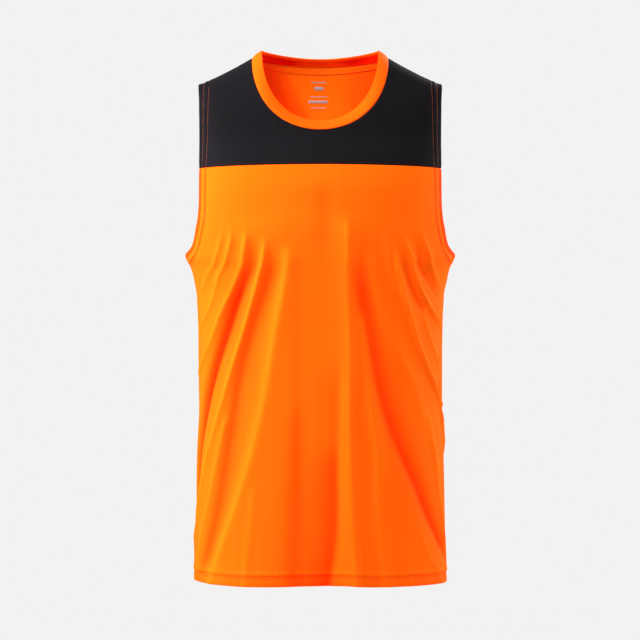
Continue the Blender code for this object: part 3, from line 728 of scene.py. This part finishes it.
# New material with its node tree and its shader, the shader's own values set.
def newMaterial(name, values):
    material = bpy.data.materials.new(name)
    material.use_nodes = True
    shader = material.node_tree.nodes["Principled BSDF"]
    for socket, value in values.items():
        shader.inputs[socket].default_value = value
    return material, material.node_tree, shader


# Ramp between colours, each at its place from 0 to 1.
def colourRamp(tree, factor, stops):
    ramp = addNode(tree, "ValToRGB", {"Fac": factor})
    elements = ramp.color_ramp.elements
    for element, (place, colour) in zip(elements, (stops[0], stops[-1])):
        element.position = place
        element.color = (*colour, 1.0)
    for place, colour in stops[1:-1]:
        elements.new(place).color = (*colour, 1.0)
    return ramp.outputs["Color"]


# Knit: colour from its painted shade attribute, from painted shade in hollows through level cloth and
# # painted highlight on crests to painted light on the inside, with faint upright streaks, over a relief
# # of wales and courses.
def knitMaterial(name, finish):
    tint = (*finish["tint"], 1.0)
    material, tree, shader = newMaterial(name, {
        "Roughness": knitFinish["roughness"], "Specular IOR Level": finish["specular"], "Specular Tint": tint,
        "Sheen Weight": finish["sheen"], "Sheen Roughness": 0.5, "Sheen Tint": tint})
    cut = addNode(tree, "UVMap", uv_map="cut").outputs["UV"]
    depth = addNode(tree, "Attribute", attribute_name="paintedShade").outputs["Fac"]
    share = addNode(tree, "MapRange", {"Value": depth, "From Min": -1.0, "From Max": 1.0}).outputs["Result"]
    # painted shade of a hollow, level cloth, painted highlight of a crest, painted light of the inside
    stops = ((0.0, "hollow"), (0.5, "middle"), (0.78, "crest"), (1.0, "inside"))
    plain = colourRamp(tree, share, [(place, finish[word]) for place, word in stops])
    stretched = addNode(tree, "Mapping", {"Vector": cut, "Scale": (260.0, 5.0, 1.0)}).outputs["Vector"]
    streak = addNode(tree, "TexNoise", {"Vector": stretched, "Scale": 1.0, "Detail": 3.0}).outputs["Fac"]
    shade = addNode(tree, "MapRange", {"Value": streak, "From Min": 0.3, "From Max": 0.7,
                                       "To Min": 1.0 - finish["streaks"], "To Max": 1.0 + finish["streaks"]})
    colour = addNode(tree, "MixRGB", {"Fac": 1.0, "Color1": plain, "Color2": shade.outputs["Result"]},
                     blend_type="MULTIPLY")
    tree.links.new(colour.outputs["Color"], shader.inputs["Base Color"])
    waves = {}
    for apart, direction in (("walesApart", "X"), ("coursesApart", "Y")):
        values = {"Vector": cut, "Scale": math.pi / 10.0 / knitFinish[apart], "Distortion": 0.0}
        waves[len(waves)] = addNode(tree, "TexWave", values, bands_direction=direction).outputs["Fac"]
    loops = addNode(tree, "Math", waves, operation="MULTIPLY").outputs["Value"]
    bump = addNode(tree, "Bump", {"Height": loops, "Strength": knitFinish["reliefStrength"],
                                  "Distance": knitFinish["reliefHeight"]}).outputs["Normal"]
    tree.links.new(bump, shader.inputs["Normal"])
    return material


# Plain thread, print or paper: one colour with a faint mottle over Object coordinates.
def plainMaterial(name, dark, light, roughness, specular, scale):
    material, tree, shader = newMaterial(name, {"Roughness": roughness, "Specular IOR Level": specular})
    place = addNode(tree, "TexCoord").outputs["Object"]
    mottle = addNode(tree, "TexNoise", {"Vector": place, "Scale": scale, "Detail": 2.0}).outputs["Fac"]
    colour = colourRamp(tree, mottle, ((0.35, dark), (0.65, light)))
    tree.links.new(colour, shader.inputs["Base Color"])
    return material


# Gives a piece its material, the body that it rides on and the nodes that it stands for. Its slot is not
# used.
def finishPiece(piece, material, slot, *nodes):
    piece.data.materials.append(material)
    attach(piece, "root")
    if nodes:
        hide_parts(*nodes)
    return piece


orangeKnit = knitMaterial("orange knit", knitFinish["orange"])
blackKnit = knitMaterial("black knit", knitFinish["black"])
bandKnit = knitMaterial("neckband knit", knitFinish["band"])
orangeThread = plainMaterial("orange thread", (0.42, 0.075, 0.02), (0.55, 0.12, 0.035), 0.6, 0.1, 900.0)
hemThread = plainMaterial("hem thread", (0.85, 0.05, 0.003), (1.0, 0.08, 0.005), 0.6, 0.05, 900.0)
brownThread = plainMaterial("brown thread", (0.1, 0.02, 0.009), (0.14, 0.028, 0.013), 0.6, 0.1, 900.0)
greyPrint = plainMaterial("grey print", (0.36, 0.33, 0.33), (0.42, 0.38, 0.38), 0.5, 0.2, 400.0)
print("materials made")


# Painted shadow on the inside of the back neck and on the neck tape
neckShade = {
    "edge": (-46.0, -32.0, -0.5),      # a point of the painted shadow's slanting edge on the wearer's right, and its lean
    "softness": (34.0, 0.35),           # how wide the slanting edge is, and the share of it already passed
    "leftEdge": (18.0, 66.0),          # where the shade starts on the wearer's left, and its reach
    "shadowStrengths": (1.3, 1.2),
    "low": (-220.0, 70.0),             # height at which the shade ends, height over which it dies out
}


# Painted shade on the inside of the back neck: the colour falls to both sides, where the neckband and
# # the back lie close together, and on the wearer's right it does so from a slanting edge on, a painted
# # cast shadow of the neck's edge.
def neckPaintedShadow(points, depth):
    x, z = points[..., 0], points[..., 2]
    place, level, lean = neckShade["edge"]
    softness, passed = neckShade["softness"]
    right = ease((place + lean * (z - level) - x) / softness + passed) * neckShade["shadowStrengths"][0]
    left = ease((x - neckShade["leftEdge"][0]) / neckShade["leftEdge"][1]) * neckShade["shadowStrengths"][1]
    return depth - np.maximum(right, left) * ease((z - neckShade["low"][0]) / neckShade["low"][1])


panels = {
    # side, width of the grid, widest column, share across at which the neck starts, and the sewn edges
    "front_cloth": (-1, 478.0, 2.55, None, ("hem", "yokeTop")),
    "yoke_cloth": (-1, 360.0, 2.6, 7.0 / 40.0, ("yokeBottom", "top")),
    "back_cloth": (1, 484.0, 3.3, 7.0 / 36.0, ("hem", "top")),
}


# One panel: its grid between a bottom, a top and two side edges, and both its faces as a closed wall.
def panelPiece(name, material, slot, node):
    side, width, widest, corner, sewn = panels[name]
    corners = (corner, 1.0 - corner) if corner else ()
    shares = spacedShares(width, panelCut["band"], panelCut["fine"], widest, corners)
    below, above = yokeHeight - bodyShape["seamGap"] / 2.0, yokeHeight + bodyShape["seamGap"] / 2.0
    hemmed = "hem" in sewn
    edge = sideEdge(0.0 if hemmed else armholePlace(above), 1.0 if corner else armholePlace(below), hemmed)
    bottom = levelEdge(side, bodyShape["hem"] if hemmed else above, edge[0][0], shares)
    top = topEdge(side, shares, corner) if corner else levelEdge(side, below, edge[0][-1], shares)
    turn, rise = panelGrid(bottom, top, edge, shares)
    outer, inner, flat, depth = panelFaces(side, turn, rise, sewn)
    # Inner face: the front keeps its painted shade; the back is lighter as painted light, less so over folds,
    # under the painted neck shadow
    innerPaintedShade = depth if side < 0 else neckPaintedShadow(inner, 1.0 - 0.6 * np.abs(depth))
    return finishPiece(closedWall(name, outer, inner, flat, depth, innerPaintedShade), material, slot, node)


frontCloth = panelPiece("front_cloth", orangeKnit, "orange_knit", "front_body")
yokeCloth = panelPiece("yoke_cloth", blackKnit, "black_knit", "front_yoke")
backCloth = panelPiece("back_cloth", orangeKnit, "orange_knit", "back_panel")
print("panels made:", [len(piece.data.polygons) for piece in (frontCloth, yokeCloth, backCloth)])

neckbandCut = {
    "halfWidth": 80.5,
    "sideHeight": -0.5,
    # stations round it, height of the free edge at the centre, and how far that edge leans out
    "front": (210, -103.0, 9.6),
    "back": (150, -6.9, 13.0),
    "thickness": 1.7,
    "crown": 0.8,
    "width": 16.0,
}


# Doubled band: a thin rounded section carried round the neck, standing between the neck seam and
# its own free edge.
def neckbandPiece():
    seam, free, panelNormal = [], [], []
    for side, word in ((-1, "front"), (1, "back")):
        count, height, lean = neckbandCut[word]
        path = neckPath(side)
        angle = placesAlong(path, side, -neckEnd, neckEnd, np.linspace(0.0, 1.0, count + 1))
        angle[0], angle[-1] = -quarterTurn, quarterTurn
        angle = angle[:-1] * -side
        turn, rise = path(angle)
        points = smoothForm(side, turn, rise)
        normals = outward(smoothForm, side, turn, rise)
        normals[0, 1] = 0.0
        x, z = neckRound(side, angle, neckbandCut["halfWidth"], neckbandCut["sideHeight"], height)
        seam.append(points)
        free.append(np.stack((x, points[:, 1] - side * lean * np.cos(angle), z), axis=-1))
        panelNormal.append(normals)
    seam, free, panelNormal = (np.concatenate(part) for part in (seam, free, panelNormal))
    width = free - seam
    reach = np.linalg.norm(width, axis=1)
    tangent = np.roll(seam, -1, axis=0) - np.roll(seam, 1, axis=0)
    bandNormal = unit(np.cross(tangent, width))
    half = neckbandCut["thickness"] / 2.0
    climb = np.linspace(0.0, 1.0, 15)
    bulge = neckbandCut["crown"] * np.sin(math.pi * climb ** 0.85) * 0.95 - 0.45 * np.exp(-climb / 0.05)
    bend = np.linspace(0.0, math.pi, 9)[1:-1]      # round the free edge
    flatShare = 1.0 - half / reach.mean()
    climb = climb * flatShare
    share = np.concatenate((climb, flatShare + (1.0 - flatShare) * np.sin(bend), climb[::-1]))
    depth = np.concatenate((bulge, half * (np.cos(bend) - 1.0), bulge[::-1] - 2.0 * half))
    share = np.maximum(share[None, :], bodyShape["seamGap"] / reach[:, None])
    blend = share[..., None]
    normal = unit(panelNormal[:, None, :] * (1.0 - blend) + bandNormal[:, None, :] * blend)
    points = seam[:, None, :] + width[:, None, :] * blend + normal * depth[None, :, None]
    stations, corners = points.shape[:2]
    index = np.arange(stations * corners).reshape(stations, corners)
    ahead = np.roll(index, -1, axis=0)
    quads = np.stack((index, ahead, np.roll(ahead, -1, axis=1), np.roll(index, -1, axis=1)), axis=-1)
    along = np.broadcast_to(lengthAlong(seam)[:, None], share.shape)
    flat = np.stack((along, share * neckbandCut["width"]), axis=-1)
    onBack = np.arange(stations) >= neckbandCut["front"][0]
    inside = np.arange(corners) > corners / 2.0
    # Painted shade of the band's inner face at the back: a painted highlight along the free edge, darker
    # towards the seam and both sides
    fromMiddle = np.abs(seam[:, :1])
    shade = 1.2 - 1.5 * ease((0.8 - share) / 0.2) - 1.3 * ease((fromMiddle - 12.0) / 60.0)
    paintedShades = np.where(inside[None, :] & onBack[:, None], shade, 0.1)     # painted shade on the back's inner face, painted highlight at its free edge
    piece = addMesh("neckband_cloth", points.reshape(-1, 3), quads.reshape(-1, 4), flat.reshape(-1, 2),
                    paintedShades.ravel())
    return finishPiece(piece, bandKnit, "neckband_knit", "neckband")


neckTape = {
    "inset": 1.8,        # from the neck seam
    "width": 10.0,
    "thickness": 0.55,
    "clear": 0.2,        # room between it and the back
    "rows": (0.0, 0.025, 0.12, 0.33, 0.5, 0.67, 0.88, 0.975, 1.0),      # shares of its width
}


# Points on the inside of the back a distance below the neck seam, and the normals there.
def insideBack(distance, lift):
    turn, rise = alongPath(neckPath(1), 1, -neckEnd, neckEnd, np.linspace(0.0, 1.0, 161))
    return onCloth(1, *insetPath(1, turn, rise, distance), panelCut["cloth"] + lift)


# Strip on the inside of the cloth with rounded edges. Each row has its points, how far in from them the
# strip lies, the normals, its distance from the strip's nearer edge and its place across.
def laidStrip(rows, thick, least):
    outer, inner, flats = [], [], []
    for base, inset, normals, fromEdge, across in rows:
        half = roundedHalf(fromEdge, thick / 2.0, least)
        outer.append(base - normals * (inset + thick / 2.0 - half))
        inner.append(base - normals * (inset + thick / 2.0 + half))
        flats.append(np.stack((lengthAlong(base), np.full(len(base), across)), axis=-1))
    return np.array(outer), np.array(inner), np.array(flats)


# Neck tape: a strip along the inside of the back neck, in the inside's painted light under the painted neck
# shadow.
def neckTapePiece():
    rows = []
    width = neckTape["width"]
    for across in np.array(neckTape["rows"])[::-1] * width:
        base, normals = insideBack(neckTape["inset"] + across, neckTape["clear"])
        rows.append((base, 0.0, normals, min(across, width - across), across))
    outer, inner, flat = laidStrip(rows, neckTape["thickness"], 0.05)
    piece = closedWall("neck_tape_cloth", outer, inner, flat, neckPaintedShadow(outer, 1.0))
    return finishPiece(piece, orangeKnit, "neck_tape", "neck_tape")


neckbandCloth = neckbandPiece()
neckTapeCloth = neckTapePiece()
print("neckband and neck tape made")

neckPrint = {
    # left end, right end, top, height of each plain bar
    "bars": ((-13.0, 9.0, -37.0, 1.4), (-9.0, 5.0, -43.5, 5.0), (-14.0, 10.0, -56.5, 1.3),
             (-17.0, 11.0, -62.0, 4.2), (-13.0, 8.0, -71.5, 1.2)),
    "thickness": 0.1,
    "lift": 0.03,        # room between them and the cloth
    "leastHalf": 0.02,   # half of a bar's height at its very ends
}


# Plain grey bars printed on the inside of the back, each a thin rounded plate on the cloth.
def neckPrintPiece():
    points, quads = [], []
    share = np.array([0.0, 0.015, 0.05, 0.25, 0.5, 0.75, 0.95, 0.985, 1.0])
    across = np.linspace(-1.0, 1.0, 5)
    for left, right, top, height in neckPrint["bars"]:
        x, row = np.meshgrid(left + (right - left) * share, across)
        half = roundedHalf(np.minimum(x - left, right - x), height / 2.0, 0.0) + neckPrint["leastHalf"]
        turn, rise = placeAt(x, top - height / 2.0 + row * half)
        base, normals = onCloth(1, turn, rise, panelCut["cloth"] + neckPrint["lift"])
        quads.append(wallFaces(*base.shape[:2]) + sum(len(part) for part in points))
        points.append(np.concatenate((base - normals * neckPrint["thickness"], base)).reshape(-1, 3))
    piece = addMesh("neck_print", np.concatenate(points), np.concatenate(quads))
    return finishPiece(piece, greyPrint, None)


neckPrintPiece()

seamStrips = {
    # distances to either side of the seam
    "rows": (-3.6, -3.45, -2.0, -0.8, -0.2, 0.2, 0.8, 2.0, 3.45, 3.6),
    "thickness": 0.8,
    "clear": 0.25,
    "atSeam": 0.5,       # how much further in it lies at the seam itself, which the two allowances raise
    "overFold": 1.0,     # how much further in it lies where the cloth is folded under or taped
    "foldRoom": 2.0,     # how far beyond the armhole's fold the deeper part reaches
    "hemRoom": 2.5,
    "sideEnds": 1.5,     # how far short of the hem and the underarm a side strip ends
    "shoulderEnds": 1.0,
    "yokeEnds": 0.012,   # how far short of the armhole the yoke strip ends, in radians
}


# A strip on the inside along a seam. For each row, panelOf gives the side and path of the panel that it
# lies on and which way is inward; the row is set in by its distance, and lies deeper on turned cloth.
def seamStrip(panelOf, turned):
    rows = []
    for row in seamStrips["rows"]:
        side, turn, rise, inward = panelOf(row)
        base, normals = onCloth(side, *insetPath(side, turn, rise, inward * abs(row)))
        inset = panelCut["cloth"] + seamStrips["clear"] + seamStrips["atSeam"] * math.exp(-abs(row))
        inset = inset + seamStrips["overFold"] * turned
        rows.append((base, inset[:, None], normals, seamStrips["rows"][-1] - abs(row), row))
    return laidStrip(rows, seamStrips["thickness"], 0.06)


# The front half of a strip lies on the front panel beside a seam that both panels share, the rest on
# the back panel.
def besideSeam(turn, rise, hand):
    return lambda row: (-1, turn, rise, hand) if row < 0.0 else (1, turn, rise, -hand)


# How far a strip is over turned or taped cloth: not at all at the reach, wholly 2 mm nearer the edge.
def overTurned(fromEdge, reach):
    return ease((reach - fromEdge) / 2.0)


# Strips over both side seams, both shoulder seams and the yoke seam, each its own piece.
def innerSeamPieces():
    fold = panelCut["armholeFold"] + seamStrips["foldRoom"]
    taped = fold - 3.0     # reach of the neck tape beside the neck
    hem, underarm = bodyShape["hem"], bodyShape["underarm"]
    tip, neck = bodyShape["shoulderTip"], bodyShape["neckHalfWidth"]
    sideRise = np.linspace(hem + seamStrips["sideEnds"], underarm - seamStrips["sideEnds"], 190)
    overHem = overTurned(sideRise - hem, hemShape["fold"] + seamStrips["hemRoom"])
    overSide = np.maximum(overTurned(underarm - sideRise, fold), overHem)
    x = np.linspace(tip - seamStrips["shoulderEnds"], neck + seamStrips["shoulderEnds"], 60)
    shoulderTurn, shoulderRise = shoulderPath(x)
    overShoulder = np.maximum(overTurned(tip - x, fold), overTurned(x - neck, taped))
    grids = {}
    for hand, word in ((-1.0, "right"), (1.0, "left")):
        sidePaths = besideSeam(np.full(sideRise.shape, hand * quarterTurn), sideRise, hand)
        shoulderPaths = besideSeam(hand * shoulderTurn, shoulderRise, hand)
        grids["side_seam_" + word] = seamStrip(sidePaths, overSide)
        grids["shoulder_seam_" + word] = seamStrip(shoulderPaths, overShoulder)
    reach = placeAt(np.array(armhole[-3, 1]), np.array(yokeHeight))[0] - seamStrips["yokeEnds"]
    across = np.linspace(-reach, reach, 200)
    level = np.full(across.shape, yokeHeight)
    overYoke = overTurned(tip - np.abs(smoothForm(-1, across, level)[:, 0]), fold + 2.0)
    grids["yoke_seam"] = seamStrip(lambda row: (-1, across, level, 1.0 if row > 0.0 else -1.0), overYoke)
    made = {}
    for name, (outer, inner, flat) in grids.items():
        piece = closedWall(name, outer, inner, flat, np.full(outer.shape[:2], 0.1))
        made[name] = finishPiece(piece, orangeKnit, "orange_knit")
    return made


innerSeams = innerSeamPieces()
print("neck print and inner seams made")

threadCut = {
    # stitches apart, length of one, its radius, how deep it is sunk, its thread and its slot
    "armhole": (3.0, 2.6, 0.13, 0.05, orangeThread, "orange_knit"),
    "shoulder": (2.6, 2.3, 0.12, 0.04, greyPrint, "black_knit"),
    "tape": (3.0, 2.6, 0.11, 0.05, orangeThread, "neck_tape"),
    "hem": (3.0, 2.6, 0.13, 0.05, hemThread, "orange_knit"),
    "yoke": (3.0, 2.6, 0.07, 0.0, brownThread, "orange_knit"),
}
threadPlaces = {
    "inGroove": {"armhole": 0.7, "hem": 0.8},     # share of the groove's depth that a row is pressed in
    # distance from the seam, depth that the row is pressed in, and how far from the middle its ends are
    "shoulder": (3.2, 0.2, (164.0, 99.0)),
    "yoke": (2.6, 0.1, 163.0),
    "fromTapeEdge": 1.3,
}


# A row of sewing, where the test keeps it: its points, pressed into the cloth, and its normals.
def sewnRow(side, turn, rise, press, keep=lambda points: slice(None)):
    points, normals = onCloth(side, turn, rise)
    kept = keep(points)
    return points[kept] - normals[kept] * press, normals[kept]


# Twin rows round the armholes and the hem, front and back, a row below each shoulder seam and above the
# yoke seam, and one near each edge of the neck tape, on its inner face.
def sewnRows():
    rows = {name: [] for name in threadCut}
    armholePress = panelCut["groove"] * threadPlaces["inGroove"]["armhole"]
    hemPress = hemShape["groove"] * threadPlaces["inGroove"]["hem"]
    armholeTurn, armholeRise = armholePath(np.linspace(0.0, 1.0, 260))
    hemTurn = np.linspace(-quarterTurn + 0.004, quarterTurn - 0.004, 420)
    for side in (-1, 1):
        for hand in (-1.0, 1.0):
            for at in panelCut["stitchLines"]:
                path = insetPath(side, hand * armholeTurn, armholeRise, -side * hand * at)
                row = sewnRow(side, *path, armholePress, lambda points: points[:, 1] * side > 0.4)
                rows["armhole"].append(row)
        for at in hemShape["stitchLines"]:
            hemRise = np.full(hemTurn.shape, bodyShape["hem"] + at)
            rows["hem"].append(sewnRow(side, hemTurn, hemRise, hemPress))
    below, press, ends = threadPlaces["shoulder"]
    shoulderTurn, shoulderRise = shoulderPath(np.linspace(*ends, 120))
    for hand in (-1.0, 1.0):
        path = insetPath(-1, hand * shoulderTurn, shoulderRise, hand * below)
        rows["shoulder"].append(sewnRow(-1, *path, press))
    above, press, end = threadPlaces["yoke"]
    yokeTurn = np.linspace(-1.08, 1.08, 300)
    yokeRise = np.full(yokeTurn.shape, yokeHeight + above)
    rows["yoke"].append(sewnRow(-1, yokeTurn, yokeRise, press, lambda points: np.abs(points[:, 0]) < end))
    for at in (threadPlaces["fromTapeEdge"], neckTape["width"] - threadPlaces["fromTapeEdge"]):
        points, normals = insideBack(neckTape["inset"] + at, neckTape["clear"] + neckTape["thickness"])
        rows["tape"].append((points[3:-3], -normals[3:-3]))
    return rows


stitchedRows = sewnRows()
for name, (*cut, thread, slot) in threadCut.items():
    finishPiece(addStitches(name + "_stitches", stitchedRows[name], *cut), thread, slot)
print("stitches made")

# Camera: level with the middle of the photograph's frame, 3.4 m in front.
cameraSetup = {"place": (-0.000345, -3.4, -0.3726), "lens": 138.6}
cameraData = bpy.data.cameras.new("front camera")
cameraData.lens = cameraSetup["lens"]
cameraData.sensor_width = 36.0
camera = bpy.data.objects.new("front camera", cameraData)
camera.location = cameraSetup["place"]
camera.rotation_euler = (quarterTurn, 0.0, 0.0)
bpy.context.scene.collection.objects.link(camera)
bpy.context.scene.camera = camera

# name: place, what it points at, width and height, watts
lightSetup = {
    "key": ((-1.75, -0.35, 0.4), (0.0, 0.0, -0.3), (0.9, 1.2), 112.0),
    "top": ((-0.7, -1.65, 1.25), (0.0, 0.0, -0.1), (0.9, 0.7), 56.0),
    "right fill": ((2.1, -2.5, 0.5), (0.0, 0.0, -0.36), (2.4, 2.0), 19.0),
    "right rim": ((1.84, 0.42, 0.1), (0.1, 0.0, -0.3), (0.8, 1.2), 46.0),
    "back fill": ((1.5, 2.2, 0.9), (0.0, 0.0, -0.36), (1.4, 1.2), 62.0),
}


# Area light at a place, turned towards its target.
def addLight(name, place, target, size, watts):
    data = bpy.data.lights.new(name, "AREA")
    data.shape = "RECTANGLE"
    data.size, data.size_y = size
    data.energy = watts
    light = bpy.data.objects.new(name, data)
    light.location = place
    light.rotation_euler = (Vector(target) - Vector(place)).to_track_quat("-Z", "Y").to_euler()
    bpy.context.scene.collection.objects.link(light)


for name, (place, target, size, watts) in lightSetup.items():
    addLight(name, place, target, size, watts)

# World: pale grey behind the object, and its own strength for the light that it gives.
worldSetup = {"seen": 0.885, "given": 0.35}
world = bpy.data.worlds.new("studio")
bpy.context.scene.world = world
world.use_nodes = True
tree = world.node_tree
seen = addNode(tree, "Background", {"Color": (1.0, 1.0, 1.0, 1.0), "Strength": worldSetup["seen"]})
given = addNode(tree, "Background", {"Color": (1.0, 1.0, 1.0, 1.0), "Strength": worldSetup["given"]})
path = addNode(tree, "LightPath")
mix = addNode(tree, "MixShader", {0: path.outputs["Is Camera Ray"], 1: given.outputs[0], 2: seen.outputs[0]})
tree.links.new(mix.outputs[0], tree.nodes["World Output"].inputs["Surface"])

# Floor: a plain pale disc well below the hem, out of the front view.
floorHeight = -1500.0
angle = np.linspace(0.0, 2.0 * math.pi, 65)[:-1]
rings = np.array([1.0, 600.0, 1200.0])
disc = np.stack((rings[:, None] * np.cos(angle), rings[:, None] * np.sin(angle),
                 np.full((3, 64), floorHeight)), axis=-1)
index = np.arange(disc[..., 0].size).reshape(disc.shape[:2])
ahead = np.roll(index, -1, axis=1)
floor = addMesh("floor", disc.reshape(-1, 3),
                np.stack((index[:-1], index[1:], ahead[1:], ahead[:-1]), axis=-1).reshape(-1, 4))
floor.data.materials.append(plainMaterial("floor paper", (0.5, 0.5, 0.5), (0.52, 0.52, 0.52), 0.9, 0.1, 3.0))
bpy.context.scene.view_settings.view_transform = "Standard"

print("scene made")
